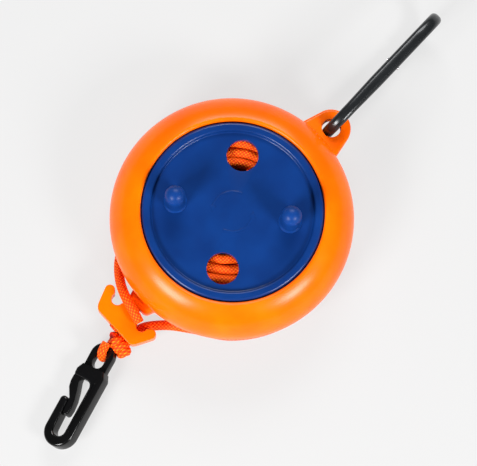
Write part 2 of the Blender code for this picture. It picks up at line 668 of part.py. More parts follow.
def carabiner_frame():
    line = spread([Vector((u, v, 0)) * MM for u, v in FRAME_LINE], 5 * MM)
    frame = settled(tube("carabiner_frame", line, CARABINER_BAR_R, ANODISED, resolution=2))
    middle = -CARABINER_HALF
    hinge_tongue = box("hinge_tongue", (11 * MM, middle - 1.8 * MM, -TONGUE_HALF_T),
                       (17.4 * MM, middle + 1.8 * MM, TONGUE_HALF_T))
    nose_tongue = box("nose_tongue", (53.4 * MM, middle - 1.7 * MM, -TONGUE_HALF_T),
                      (63.4 * MM, middle + 1.7 * MM, TONGUE_HALF_T))
    frame = combine(frame, "UNION", [hinge_tongue, nose_tongue])
    notch = box("notch", (NOSE_PIN_U - RIVET_R - 0.25 * MM, middle - RIVET_R - 0.2 * MM, -2 * MM),
                (NOSE_PIN_U + RIVET_R + 0.25 * MM, middle + 3 * MM, 2 * MM), None, CUTTERS)
    bore = along_width("bore", RIVET_R + CLEAR, (GATE_HINGE_U, middle), 4 * MM, None, CUTTERS)
    return shaded(move(combine(frame, "DIFFERENCE", [notch, bore]), carabiner_place()), 50)


def carabiner_gate():
    middle = -CARABINER_HALF
    low, high = 13.8 * MM, GATE_END_U
    bm = bmesh.new()
    bmesh.ops.create_cone(bm, cap_ends=True, segments=20, radius1=GATE_R, radius2=GATE_R, depth=high - low)
    rod = object_of(bm, "carabiner_gate", STEEL)
    place = Matrix.Translation(((low + high) / 2, middle, 0)) @ Matrix.Rotation(math.pi / 2, 4, "Y")
    move(rod, place)
    slots = [box("slot", (a, middle - 4 * MM, -SLOT_HALF_T), (b, middle + 4 * MM, SLOT_HALF_T), None, CUTTERS)
             for a, b in ((low - 1 * MM, 19.4 * MM), (52.4 * MM, high + 1 * MM))]
    bore = cylinder("bore", 1.35 * MM, 18 * MM, 30 * MM, (0, 0), None, CUTTERS, 16)
    move(bore, Matrix.Translation((0, middle, 0)) @ Matrix.Rotation(math.pi / 2, 4, "Y"))
    bores = [bore] + [along_width("bore", RIVET_R + 0.05 * MM, (u, middle), 4 * MM, None, CUTTERS)
                      for u in (GATE_HINGE_U, NOSE_PIN_U)]
    gate = move(combine(rod, "DIFFERENCE", slots + bores), carabiner_place())
    return shaded(pivot(gate, carabiner_place() @ Vector((GATE_HINGE_U, middle, 0))), 50)


def gate_pins():
    middle = -CARABINER_HALF
    for name, u, half in (("gate_rivet", GATE_HINGE_U, 2.9 * MM), ("nose_pin", NOSE_PIN_U, 4 * MM)):
        shaded(move(along_width(name, RIVET_R, (u, middle), half, STEEL), carabiner_place()))


def gate_spring():
    """The small coil in the gate's bore that closes the gate."""
    turns, points, first, last = 4, 6, 19.8 * MM, 29.4 * MM
    count = turns * points
    coil = [Vector((first + (last - first) * i / count,
                    -CARABINER_HALF + 0.85 * MM * math.cos(math.tau * i / points),
                    0.85 * MM * math.sin(math.tau * i / points))) for i in range(count + 1)]
    wire = settled(tube("gate_spring", coil, 0.22 * MM, STEEL, resolution=0))
    return shaded(move(wire, carabiner_place()), 60)


def build():
    front_case()
    rear_case()
    case_screws()
    spool_disc()
    for number, side in enumerate((90, 270), 1):
        finger_peg(f"finger_peg_{number}", math.degrees(SPOOL_TURN) + side)
    spool_core()
    spool_screws()
    axle_parts()
    cord_winding()
    cords()
    cleat()
    ball("stopper_knot", KNOT_AT, KNOT_R, CORD)
    snap_hook()
    snap_hook_gate()
    hook_loop()
    carabiner_frame()
    carabiner_gate()
    gate_pins()
    gate_spring()


build()
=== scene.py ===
"""Looks of a hand-wound cord reel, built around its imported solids.

Each group of pieces is one operator in the sidebar's Cord reel tab. Run as a script, the file makes
them all in order. Z is the spool's axis, +X points to the eyelet and -X to the spout.
"""

import math

import bmesh
import bpy
import numpy as np
from bpy.props import FloatProperty, FloatVectorProperty, IntProperty, PointerProperty
from mathutils import Matrix, Vector


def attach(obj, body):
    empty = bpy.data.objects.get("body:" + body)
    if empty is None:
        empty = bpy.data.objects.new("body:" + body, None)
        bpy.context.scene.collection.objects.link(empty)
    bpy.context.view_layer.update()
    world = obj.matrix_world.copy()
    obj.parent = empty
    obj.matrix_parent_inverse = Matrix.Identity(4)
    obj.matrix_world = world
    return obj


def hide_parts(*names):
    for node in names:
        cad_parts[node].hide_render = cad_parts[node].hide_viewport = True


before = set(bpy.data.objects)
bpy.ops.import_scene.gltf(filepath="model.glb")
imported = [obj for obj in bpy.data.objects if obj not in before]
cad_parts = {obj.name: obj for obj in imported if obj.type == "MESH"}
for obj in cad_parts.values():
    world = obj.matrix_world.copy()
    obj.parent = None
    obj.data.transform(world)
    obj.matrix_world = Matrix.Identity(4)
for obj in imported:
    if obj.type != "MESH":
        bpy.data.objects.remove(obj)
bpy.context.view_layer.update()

bl_info = {
    "name": "Cord reel",
    "version": (1, 0, 0),
    "blender": (4, 5, 0),
    "location": "View3D > Sidebar > Cord reel",
    "description": "Builds the visible pieces of a hand-wound cord reel around its solids",
    "category": "Add Mesh",
}

MM = 0.001
GAP = 0.3 * MM

# Case: two shells that meet at mid height, with a round section swept about Z.
CASE_R = 60 * MM
ROUND_R = 21 * MM
ROUND_CENTRE_R = CASE_R - ROUND_R
SPLIT_Z = ROUND_R
WALL = 2.5 * MM
LIP_R = 44.6 * MM
LIP_BASE_Z = 37.2 * MM
LIP_WALL = 2.2 * MM
LIP_ROLL_R = 1.3 * MM
POST_R = 7 * MM
POST_TOP_Z = 21 * MM

# Eyelet tab and spout.
EYELET_X = 66.6 * MM
EYELET_R = 9.7 * MM
EYELET_HOLE_R = 4.7 * MM
TAB_ROOT_HALF = 13.2 * MM
TAB_ROOT_X = 54 * MM
TAB_HALF_T = 3 * MM
TAB_EDGE_R = 1.6 * MM
TAB_PAST_SPLIT = 1.2 * MM
GATE_MARK_AT = (57.3 * MM, -0.7 * MM)
GATE_MARK_R = 0.55 * MM
SPOUT_Z = 10.5 * MM
SPOUT_END_X = -63.2 * MM
SPOUT_ROOT_X = -52 * MM
SPOUT_END_HALF = 6 * MM
SPOUT_ROOT_HALF = 9.6 * MM
SPOUT_HALF_H = 4.9 * MM
SPOUT_BORE_R = 3.4 * MM
SPOUT_EDGE_R = 2.2 * MM

# Case screws, which stand in blind holes from the back.
SCREW_ANGLES = (45, 135, 225, 315)
SCREW_RING_R = 52.3 * MM
SCREW_HEAD_R = 2.8 * MM
SCREW_SEAT_Z = 8 * MM

# Spool.
SPOOL_TURN = 37.6
DISC_R = 44 * MM
DISC_TOP_Z = 40 * MM
DISC_FLOOR_Z = 37.6 * MM
DISC_RIM_INNER_R = 39.6 * MM
DISC_UNDER_Z = 34.6 * MM
DISC_SKIRT_R = 46.2 * MM
DISC_SKIRT_Z = 36.6 * MM
FEATURE_R = 28.2 * MM
WINDOW_R = 7.8 * MM
PEG_R = 5 * MM
PEG_TOP_Z = 57 * MM
PEG_FOOT_R = 5.7 * MM
DISC_RIM_OUTER_EDGE_R = 1.6 * MM
DISC_RIM_INNER_EDGE_R = 1.1 * MM
DISC_FLOOR_EDGE_R = 0.9 * MM
PEG_FILLET_R = 1.1 * MM
ARROW_INNER_R = 9.4 * MM
ARROW_OUTER_R = 10.5 * MM
ARROW_HEAD_OUT = 1.2 * MM
ARROW_SWEEP = 100
ARROW_TIP_SWEEP = 118
ARROW_PROUD = 0.16 * MM

# Cord and its braid.
CORD_R = 2.5 * MM
LOOP_R = 2.3 * MM
CORD_SIDES = 48
BRAID_STRANDS = 8
BRAID_PITCH = 15 * MM
BRAID_RELIEF = 0.09

# Where the cord runs, all in millimetres, angles in degrees.
SHORT_CORD_SPACING = 0.4
WRAP_R = 55.6
TABLE_Z = 2.6
LEAD_ROUTE = [(-43.6, 13.2, 10.8), (-47.2, 7.2, 10.6), (-51.4, 2.6, 10.5), (-56, 0.4, 10.5),
              (-61, 0, 10.5), (-67, 0, 10.5), (-73, 0, 10.5), (-79, 0, 10.5)]
TAIL_OUT = [(-76, -7.6, 2.6), (-71.5, -7.7, 2.6), (-66.5, -8.9, 2.6), (-61, -12.6, 2.6),
            (-55.8, -17.4, 2.6)]
TAIL_BACK = [(-55.6, 21.6, 7.4), (-61.2, 13.9, 13), (-64.6, 5.8, 18), (-66.4, -1.6, 18.4),
             (-67.8, -7, 16.6)]
LOOP_ROUTE = [(0.2, 0.8, 4.7), (2, 0.7, 4.7), (4.5, 0.5, 4.2), (6.3, 0.2, 2.1), (6.8, 0, 0),
              (6.3, -0.2, -2.1), (4.5, -0.5, -4.2), (2, -0.6, -4.7), (0.2, -0.8, -4.7)]
WRAP_ANGLES = (207, 508)
WRAP_POINTS = 16
WINDING_FIRST_R = 20.4
WINDING_LAST_R = 38
WINDING_LOW_Z = 10.4
WINDING_HIGH_Z = 31.4
WINDING_LEVELS = 6
WINDING_TURN_POINTS = 28
WINDING_CLIMB_FROM = 0.93

# Cleat, and the knot, which is in millimetres.
CLEAT_BACK_X = -78.3 * MM
CLEAT_LOW_Z = 6.3 * MM
CLEAT_HIGH_Z = 14.7 * MM
CLEAT_BORE_R = 3 * MM
CLEAT_EDGE_R = 1.5 * MM
NOTCH_X, NOTCH_Y, NOTCH_R = -67.8 * MM, 8.9 * MM, 2.9 * MM
HUMP_X = -66.2 * MM
HORN_X, HORN_Y, HORN_R = -67.3 * MM, 14.9 * MM, 2.5 * MM
KNOT_AT = Vector((-82.2, -7.6, 7))
KNOT_HALF_LONG = 5
KNOT_HALF_WIDE = 1.9
KNOT_HALF_HIGH = 2.7
KNOT_TURNS = 3.1
KNOT_START = 0.6
KNOT_STEPS = 45

# Snap hook, in its own frame: the eye's top at the origin, its length along X.
HOOK_AT = Vector((-85.4 * MM, -4.4 * MM, 7.1 * MM))
HOOK_LONG = 56.5 * MM
HOOK_HALF = 8.2 * MM
HOOK_HALF_T = 3.8 * MM
HOOK_EYE_R = 6.4 * MM
HOOK_EYE_HALF_T = 1.8 * MM
HOOK_EYE_END = 13.4 * MM
HOOK_SLOT_R = 3.2 * MM
HOOK_SLOT_START = 3.6 * MM
HOOK_LIMB = 4.9 * MM
HOOK_NOSE_START = 34 * MM
HOOK_NOSE_HALF = 2.1 * MM
HOOK_HOLLOW_START = 24 * MM
HOOK_HOLLOW_R = 3.4 * MM
HOOK_TONGUE_HALF_T = 2.9 * MM
HOOK_EDGE_R = 1.3 * MM
HOOK_GROOVE = (21.5 * MM, 46 * MM)
HOOK_GROOVE_Y = 5.8 * MM
HOOK_GROOVE_HALF = 1.1 * MM
HOOK_GROOVE_DEEP = 0.55 * MM
HOOK_PAST_T = 6 * MM
HOOK_HEADING = math.radians(199.3)
HOOK_ROLL = math.radians(24)

# Carabiner, in its own frame: length along X, width along Y with the gate at -Y. Its line is in millimetres.
CARABINER_HALF = 13 * MM
BAR_R = 2.91 * MM
BAR_SIDES = 40
BAR_SQUARENESS = 2.5
BAR_THICKER = 1.12
THICKER_FROM = 16 * MM
THICKER_TO = 34 * MM
CARABINER_TURN = math.radians(4.8)
CARABINER_NOSE_DOWN = math.radians(3.1)
CARABINER_LEAN = math.radians(6.6)
CARABINER_AT = Vector((EYELET_X - 4.3 * MM, 0, 20.2 * MM))
FRAME_LINE = [(12.4, -12.7), (8.6, -11), (5.1, -7.6), (3.2, -3), (3.1, 2.5), (4.6, 7.4), (8.6, 11.1),
              (15, 12.6), (26, 13), (43, 13), (60.5, 13), (69, 12.7), (76.2, 10.2), (80.7, 5.4), (82.2, -0.2),
              (80.7, -6), (76.2, -10.6), (69.4, -12.8), (61.9, -13)]
GATE_R = 2.6 * MM
GATE_LOW_U = 13.8 * MM
GATE_END_U = 60.5 * MM
GATE_HINGE_U = 15.8 * MM
NOSE_PIN_U = 55.2 * MM
HINGE_TONGUE = (11 * MM, 17.4 * MM)
NOSE_TONGUE = (53.4 * MM, 63.4 * MM)
TONGUE_HALF_WIDE = 1.7 * MM
TONGUE_HALF_T = 0.9 * MM
HINGE_SLOT_END = 19.4 * MM
NOSE_SLOT_START = 52.4 * MM
SLOT_HALF_T = 1.2 * MM
RIVET_R = 0.8 * MM
RIVET_HALF = 2.95 * MM
CATCH_PIN_HALF = 4 * MM

# How deep the fine textures are.
SKIN_RELIEF = 0.01 * MM
LINE_RELIEF = 0.006 * MM
YARN_RELIEF = 0.22 * MM

# View and light.
VIEW_AIM = Vector((-0.0026, -0.0076, 0.021))
VIEW_BACK = Vector((-0.1421, -0.119, 0.9827)).normalized()
VIEW_UP = Vector((0.677, 0.736, 0))
VIEW_RIGHT = Vector((0.736, -0.677, 0))
VIEW_DISTANCE = 1.1
VIEW_WIDTH = 0.2337
SENSOR_WIDTH = 36
FLOOR_HALF = 3
FLOOR_DROP = 0.1 * MM

# Soft lights: direction to the right, up and back in the view, distance and two side lengths, in metres.
LEFT_LIGHT = (-0.6, -0.62, 0.6), 1.1, (0.4, 0.3)
RIGHT_LIGHT = (0.62, -0.6, 0.6), 1.1, (0.34, 0.28)
BACK_LIGHT = (0.1, 0.9, 0.75), 1.4, (0.9, 0.5)
RIGHT_SHARE = 0.8


# ---------------------------------------------------------------- mesh making

def polar(radius, degrees):
    return radius * math.cos(math.radians(degrees)), radius * math.sin(math.radians(degrees))


def arc(centre_r, centre_z, radius, start, end, count):
    """Points on an arc, angles in degrees from the first axis towards the second."""
    angles = [math.radians(start + (end - start) * i / count) for i in range(count + 1)]
    return [(centre_r + radius * math.cos(a), centre_z + radius * math.sin(a)) for a in angles]


def linked(name, mesh):
    obj = bpy.data.objects.new(name, mesh)
    bpy.context.scene.collection.objects.link(obj)
    return obj


def from_bmesh(name, bm):
    bmesh.ops.recalc_face_normals(bm, faces=bm.faces)
    mesh = bpy.data.meshes.new(name)
    bm.to_mesh(mesh)
    bm.free()
    return linked(name, mesh)


def settled(obj):
    """Replaces an object's data with its evaluated mesh, seams welded, and drops its modifiers."""
    bpy.context.view_layer.update()
    mesh = bpy.data.meshes.new_from_object(obj.evaluated_get(bpy.context.evaluated_depsgraph_get()))
    name = obj.name
    bpy.data.objects.remove(obj)
    bm = bmesh.new()
    bm.from_mesh(mesh)
    bmesh.ops.remove_doubles(bm, verts=bm.verts, dist=1e-6)
    bmesh.ops.dissolve_degenerate(bm, edges=bm.edges, dist=1e-6)
    bmesh.ops.recalc_face_normals(bm, faces=bm.faces)
    bm.to_mesh(mesh)
    bm.free()
    return linked(name, mesh)


def turned(name, profile, steps):
    """A solid turned about Z from (radius, height) pairs.

    A profile that starts and ends on the axis needs no closing edge.
    """
    count = len(profile)
    edges = [(i, i + 1) for i in range(count - 1)]
    if profile[0][0] or profile[-1][0]:
        edges.append((count - 1, 0))
    mesh = bpy.data.meshes.new(name)
    mesh.from_pydata([(r, 0, z) for r, z in profile], edges, [])
    obj = linked(name, mesh)
    screw = obj.modifiers.new("turn", "SCREW")
    screw.steps = screw.render_steps = steps
    screw.use_merge_vertices = True
    screw.merge_threshold = 1e-6
    return settled(obj)


def cylinder(name, radius, low, high, at=(0, 0), sides=48, taper=1.0):
    bm = bmesh.new()
    bmesh.ops.create_cone(bm, cap_ends=True, segments=sides, radius1=radius, radius2=radius * taper,
                          depth=high - low)
    bmesh.ops.translate(bm, verts=bm.verts, vec=(at[0], at[1], (low + high) / 2))
    return from_bmesh(name, bm)


def block(name, low, high):
    bm = bmesh.new()
    bmesh.ops.create_cube(bm, size=1)
    bmesh.ops.scale(bm, verts=bm.verts, vec=Vector(high) - Vector(low))
    bmesh.ops.translate(bm, verts=bm.verts, vec=(Vector(low) + Vector(high)) / 2)
    return from_bmesh(name, bm)


def plate(name, outline, low, high, bevel=0.0, segments=4, angle=50):
    """A flat piece: a closed outline of (x, y) pairs raised from low to high, its edges rounded."""
    bm = bmesh.new()
    face = bm.faces.new([bm.verts.new((x, y, low)) for x, y in outline])
    raised = bmesh.ops.extrude_face_region(bm, geom=[face])
    moved = [v for v in raised["geom"] if isinstance(v, bmesh.types.BMVert)]
    bmesh.ops.translate(bm, verts=moved, vec=(0, 0, high - low))
    obj = from_bmesh(name, bm)
    return softened(obj, bevel, segments, angle) if bevel else obj


def combine(obj, operation, others):
    """Cuts or joins with other objects, which are used up."""
    for other in others:
        boolean = obj.modifiers.new(operation.lower(), "BOOLEAN")
        boolean.operation = operation
        boolean.object = other
        boolean.solver = "EXACT"
    made = settled(obj)
    for other in others:
        bpy.data.objects.remove(other)
    return made


def along_x(radius, low, high, y, z, taper=1.0, sides=48):
    made = cylinder("bore", radius, low, high, (0, 0), sides, taper)
    made.data.transform(Matrix.Translation((0, y, z)) @ Matrix.Rotation(math.pi / 2, 4, "Y"))
    return made


def softened(obj, width, segments=3, angle=38):
    """Rounds every edge that is sharper than an angle."""
    rounding = obj.modifiers.new("edges", "BEVEL")
    rounding.width = width
    rounding.segments = segments
    rounding.limit_method = "ANGLE"
    rounding.angle_limit = math.radians(angle)
    return settled(obj)


def shaded(obj, angle=32):
    obj.data.shade_smooth()
    obj.data.set_sharp_from_angle(angle=math.radians(angle))
    return obj


def kept(obj, body, slot, material, *nodes):
    """Gives a piece its material, rides it on its body and lets it stand for solids. The slot is not used."""
    obj.data.materials.clear()
    obj.data.materials.append(material)
    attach(obj, body)
    if nodes:
        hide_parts(*nodes)
    return obj


# ---------------------------------------------------------------- routes and swept pieces

def lengths_along(path):
    """How far each point of a path is along it."""
    return np.concatenate([[0], np.cumsum(np.linalg.norm(np.diff(path, axis=0), axis=1))])


def spread(points, spacing):
    """Points at an even spacing along a smooth curve through the given ones."""
    ends = [points[0] * 2 - points[1]] + points + [points[-1] * 2 - points[-2]]
    dense = []
    for i in range(1, len(ends) - 2):
        a, b, c, d = ends[i - 1:i + 3]
        for step in range(40):
            t = step / 40
            dense.append(0.5 * ((2 * b) + (c - a) * t + (2 * a - 5 * b + 4 * c - d) * t ** 2
                                + (3 * b - a - 3 * c + d) * t ** 3))
    dense.append(points[-1])
    places = np.array([tuple(p) for p in dense])
    travelled = lengths_along(places)
    stops = np.linspace(0, travelled[-1], max(3, round(travelled[-1] / spacing) + 1))
    return np.stack([np.interp(stops, travelled, places[:, axis]) for axis in range(3)], axis=1)


def routed(places, spacing, place=None):
    """A route in millimetres as finely spaced points in metres, moved by a matrix if one is given."""
    points = [Vector(p) * MM for p in places]
    if place:
        points = [place @ p for p in points]
    return spread(points, spacing * MM)


def wrap_route():
    first, last = WRAP_ANGLES
    turns = [first + (last - first) * i / (WRAP_POINTS - 1) for i in range(WRAP_POINTS)]
    return [(*polar(WRAP_R, angle), TABLE_Z) for angle in turns]


def carried_frames(path):
    """For each point of a path, two unit vectors across it that don't twist along it."""
    along = np.gradient(path, axis=0)
    along /= np.linalg.norm(along, axis=1)[:, None]
    across = np.cross(along[0], (0, 0, 1.0))
    if np.linalg.norm(across) < 0.1:
        across = np.cross(along[0], (0, 1.0, 0))
    sides = []
    for direction in along:
        across = across - direction * np.dot(across, direction)
        across /= np.linalg.norm(across)
        sides.append(across)
    sides = np.array(sides)
    return sides, np.cross(along, sides)


def braid_height(along, around):
    """How far the yarns of a round braid stand out, 0 to 1: two families that pass over each other."""
    one = BRAID_STRANDS * (around + along)
    other = BRAID_STRANDS * (around - along)
    crown = 1 - (2 * (one - np.floor(one)) - 1) ** 2
    other_crown = 1 - (2 * (other - np.floor(other)) - 1) ** 2
    over = np.cos(np.pi * (other - 0.5 + np.floor(one)))
    other_over = np.cos(np.pi * (one - 0.5 + np.floor(other)))
    return np.maximum(crown * (0.6 + 0.4 * over), other_crown * (0.6 - 0.4 * other_over))


def swept(name, path, section, height=None):
    """A closed tube along a path, with its lengths and turns in a UV map.

    The section gives each side's two distances across; a height function lets yarns stand out.
    """
    sides, ups = carried_frames(path)
    count, ring = len(path), len(section)
    travelled = lengths_along(path)
    around = np.arange(ring) / ring
    scale = np.ones((count, ring))
    if height:
        relief = height(travelled[:, None] / BRAID_PITCH, around[None, :])
        scale = 1 - BRAID_RELIEF * (1 - relief)
    offsets = (sides[:, None, :] * section[None, :, 0, None] + ups[:, None, :] * section[None, :, 1, None])
    points = (path[:, None, :] + offsets * scale[:, :, None]).reshape(-1, 3)
    faces = []
    for i in range(count - 1):
        for j in range(ring):
            k = (j + 1) % ring
            faces.append((i * ring + j, i * ring + k, (i + 1) * ring + k, (i + 1) * ring + j))
    walls = len(faces)
    faces.append(tuple(range(ring - 1, -1, -1)))
    faces.append(tuple((count - 1) * ring + j for j in range(ring)))
    mesh = bpy.data.meshes.new(name)
    mesh.from_pydata(points.tolist(), [], faces)
    layer = mesh.uv_layers.new(name="braid")
    places = np.zeros((len(mesh.loops), 2))
    rows, columns = np.divmod(np.arange(walls), ring)
    u, v = travelled / BRAID_PITCH, np.arange(ring + 1) / ring
    places[:walls * 4] = np.stack([
        np.stack([u[rows], v[columns]], 1), np.stack([u[rows], v[columns + 1]], 1),
        np.stack([u[rows + 1], v[columns + 1]], 1), np.stack([u[rows + 1], v[columns]], 1)], 1).reshape(-1, 2)
    layer.data.foreach_set("uv", places.ravel())
    mesh.shade_smooth()
    obj = linked(name, mesh)
    bm = bmesh.new()
    bm.from_mesh(mesh)
    bmesh.ops.recalc_face_normals(bm, faces=bm.faces)
    bm.to_mesh(mesh)
    bm.free()
    return obj


def round_section(radius, sides):
    angles = np.arange(sides) * math.tau / sides
    return np.stack([np.cos(angles), np.sin(angles)], 1) * radius


def cord_tube(name, path, radius=CORD_R, sides=CORD_SIDES):
    """A braided cord with its own yarns standing out."""
    return shaded(swept(name, path, round_section(radius, sides), braid_height), 70)


# ---------------------------------------------------------------- finishes

class Value:
    """A socket of a finish's graph. Arithmetic on it adds Math nodes."""

    def __init__(self, finish, socket):
        self.finish = finish
        self.socket = socket

    def maths(self, operation, *others):
        return self.finish.node("ShaderNodeMath", {"operation": operation}, (self, *others))

    def __add__(self, other):
        return self.maths("ADD", other)

    __radd__ = __add__

    def __sub__(self, other):
        return self.maths("SUBTRACT", other)

    def __rsub__(self, other):
        return self.finish.node("ShaderNodeMath", {"operation": "SUBTRACT"}, (other, self))

    def __mul__(self, other):
        return self.maths("MULTIPLY", other)

    __rmul__ = __mul__


# A Mix node's sockets for colours, by their places.
MIX_SHARE, MIX_FIRST, MIX_SECOND = 0, 6, 7
MIX_RESULT = 2


class Finish:
    """A Principled material that is built one node at a time."""

    def __init__(self, name, colour, roughness, **fixed):
        self.material = bpy.data.materials.new(name)
        self.material.use_nodes = True
        self.tree = self.material.node_tree
        self.shader = self.tree.nodes["Principled BSDF"]
        self.material.diffuse_color = (*colour, 1)
        self.set("Base Color", (*colour, 1))
        self.set("Roughness", roughness)
        for socket, value in fixed.items():
            self.set(socket.replace("_", " ").title().replace("Ior", "IOR"), value)

    def set(self, socket, value):
        self.join(self.shader.inputs[socket], value)

    def join(self, socket, value):
        """Links a value to a socket, or sets the socket to a number or colour."""
        if isinstance(value, Value):
            self.tree.links.new(value.socket, socket)
        else:
            socket.default_value = value

    def node(self, kind, settings=None, values=(), output=0):
        """Adds a node: its settings first, then the values or links of its sockets."""
        made = self.tree.nodes.new(kind)
        for key, value in (settings or {}).items():
            if key == "stops":
                ramp = made.color_ramp.elements
                while len(ramp) < len(value):
                    ramp.new(0.5)
                for element, (position, colour) in zip(ramp, value):
                    element.position = position
                    element.color = (*colour, 1)
            else:
                setattr(made, key, value)
        for socket, value in values.items() if isinstance(values, dict) else enumerate(values):
            self.join(made.inputs[socket], value)
        return Value(self, made.outputs[output])

    def noise(self, scale, detail=2.0, stretch=(1, 1, 1)):
        """Even noise, 0 to 1, with a scale in features per metre."""
        place = self.node("ShaderNodeTexCoord", output="Object")
        place = self.node("ShaderNodeVectorMath", {"operation": "MULTIPLY"}, (place, stretch))
        return self.node("ShaderNodeTexNoise", None, {"Vector": place, "Scale": scale, "Detail": detail})

    def ramp(self, value, *stops):
        return self.node("ShaderNodeValToRGB", {"stops": stops}, {"Fac": value})

    def blend(self, share, first, second):
        """Two colours mixed by a share."""
        first, second = (c if isinstance(c, Value) else (*c, 1) for c in (first, second))
        return self.node("ShaderNodeMix", {"data_type": "RGBA"},
                         {MIX_SHARE: share, MIX_FIRST: first, MIX_SECOND: second}, MIX_RESULT)

    def bump(self, height, depth):
        self.set("Normal", self.node("ShaderNodeBump", None, {"Height": height, "Distance": depth}))


def moulded(name, colour, deep, roughness, grain, shine, relief=SKIN_RELIEF):
    """Moulded plastic: slight clouding of its colour, an uneven gloss and a faint skin texture."""
    finish = Finish(name, colour, roughness, specular_ior_level=shine)
    cloud = finish.noise(55, 3)
    clouded = finish.ramp(cloud, (0.35, (0, 0, 0)), (0.7, (1, 1, 1)))
    finish.set("Base Color", finish.blend(clouded, deep, colour))
    skin = finish.noise(grain, 3)
    handled = finish.noise(140, 4)
    finish.set("Roughness", roughness - 0.05 + 0.06 * skin + 0.07 * handled)
    finish.bump(skin + 0.6 * handled, relief)
    return finish.material


def braided(name, crown, painted_valley_shade, roughness):
    """Braided cord: yarns in two crossing families, bright on their crowns, with painted shade in deep red
    between them and a painted highlight on their highest crowns.
    """
    finish = Finish(name, crown, roughness, specular_ior_level=0.14)
    place = finish.node("ShaderNodeUVMap", {"uv_map": "braid"})
    along, around = (finish.node("ShaderNodeSeparateXYZ", None, (place,), axis) for axis in (0, 1))
    one = BRAID_STRANDS * (around + along)
    other = BRAID_STRANDS * (around - along)

    def crowned(value):
        middle = 2 * value.maths("FRACT") - 1
        return 1 - middle * middle

    def crossing(value, family):
        return (math.pi * (value - 0.5 + family.maths("FLOOR"))).maths("COSINE")

    first = crowned(one) * (0.6 + 0.4 * crossing(other, one))
    second = crowned(other) * (0.6 - 0.4 * crossing(one, other))
    height = first.maths("MAXIMUM", second)
    yarn = ((one * (6 * math.tau)).maths("SINE") * first + (other * (6 * math.tau)).maths("SINE") * second)
    worn = finish.noise(420, 3)
    # The deep red mixed in where the yarns sink is painted shade: the valleys between them darkened as if in
    # shadow.
    share = (height * 1.25 + 0.12 * yarn + 0.3 * worn - 0.4).maths("MINIMUM", 1.0).maths("MAXIMUM", 0.0)
    colour = finish.blend(share, painted_valley_shade, crown)
    # The highest yarn crowns turn a lighter orange: a painted highlight.
    painted_crown_highlight = ((height - 0.82) * 6).maths("MINIMUM", 1.0).maths("MAXIMUM", 0.0)
    finish.set("Base Color", finish.blend(0.6 * painted_crown_highlight, colour, (1.0, 0.34, 0.012)))
    finish.set("Roughness", roughness + 0.15 * worn - 0.08 * height)
    finish.bump(height + 0.12 * yarn, YARN_RELIEF)
    return finish.material


def metal(name, colour, tone, roughness, stretch, metallic):
    """Drawn or plated metal: fine lines along it and a little clouding."""
    finish = Finish(name, colour, roughness, metallic=metallic)
    lines = finish.noise(2200, 2, stretch)
    cloud = finish.noise(160, 3)
    finish.set("Base Color", finish.blend(cloud, tone, colour))
    finish.set("Roughness", roughness - 0.04 + 0.07 * lines + 0.06 * cloud)
    finish.bump(lines, LINE_RELIEF)
    return finish.material


FINISHES = {}


def finish_for(kind):
    """A finish by its name, made when it is first asked for."""
    if kind in FINISHES:
        return FINISHES[kind]
    colours = bpy.context.scene.cord_reel_colours
    orange, blue, cord = (tuple(c) for c in (colours.shell, colours.disc, colours.cord))
    makers = {
        "orange_shell": lambda name: moulded(name, orange, deep=(0.97, 0.12, 0.0), roughness=0.23,
                                             grain=1400, shine=0.15),
        "blue_disc": lambda name: moulded(name, blue, deep=(0.0025, 0.022, 0.12), roughness=0.23,
                                          grain=1800, shine=0.22),
        # The pegs are the disc's own moulding; their lighter blue is a painted highlight for the light that
        # their domes catch.
        "blue_peg": lambda name: moulded(name, tuple(1.35 * c for c in blue), deep=blue, roughness=0.36,
                                         grain=1800, shine=0.14),
        "black_plastic": lambda name: moulded(name, (0.003, 0.003, 0.0035), deep=(0.002, 0.002, 0.002),
                                              roughness=0.17, grain=1500, shine=0.3),
        "nylon": lambda name: moulded(name, (0.75, 0.73, 0.68), deep=(0.68, 0.66, 0.6), roughness=0.45,
                                      grain=1400, shine=0.4, relief=0.012 * MM),
        # The cord's deep red between its yarns is painted shade.
        "orange_cord": lambda name: braided(name, cord, painted_valley_shade=(0.62, 0.016, 0.0005), roughness=0.5),
        "bright_steel": lambda name: metal(name, (0.6, 0.6, 0.62), tone=(0.45, 0.45, 0.47), roughness=0.24,
                                           stretch=(1, 1, 0.08), metallic=1.0),
        "black_anodised": lambda name: metal(name, (0.016, 0.018, 0.02), tone=(0.009, 0.01, 0.011),
                                             roughness=0.24, stretch=(0.08, 1, 1), metallic=0.3),
    }
    FINISHES[kind] = makers[kind](kind.replace("_", " "))
    return FINISHES[kind]


# ---------------------------------------------------------------- case

def eyelet_outline():
    """The tab seen from above: a round nose about the hole, its sides tangent to it out to the root."""
    reach = Vector((EYELET_X - TAB_ROOT_X, TAB_ROOT_HALF))
    root_angle = math.pi - math.atan2(reach.y, reach.x)
    tangent = math.degrees(root_angle - math.acos(EYELET_R / reach.length))
    nose = arc(EYELET_X, 0, EYELET_R, -tangent, tangent, 44)
    return [(TAB_ROOT_X, -TAB_ROOT_HALF)] + nose + [(TAB_ROOT_X, TAB_ROOT_HALF)]


def rounded_tab(face_z, past_z):
    """Half a tab: its outer face has rounded edges, and its other end runs past the split."""
    tab = plate("tab", eyelet_outline(), min(face_z, past_z), max(face_z, past_z))
    bm = bmesh.new()
    bm.from_mesh(tab.data)
    rim = [e for e in bm.edges if all(abs(v.co.z - face_z) < 1e-6 for v in e.verts)]
    bmesh.ops.bevel(bm, geom=rim, offset=TAB_EDGE_R, segments=7, affect="EDGES", profile=0.5)
    bm.to_mesh(tab.data)
    bm.free()
    return tab


def beyond_split(low, high):
    return block("beyond", (-90 * MM, -90 * MM, low), (90 * MM, 90 * MM, high))


def eyelet_hole():
    return cylinder("hole", EYELET_HOLE_R, 10 * MM, 32 * MM, (EYELET_X, 0), 56)


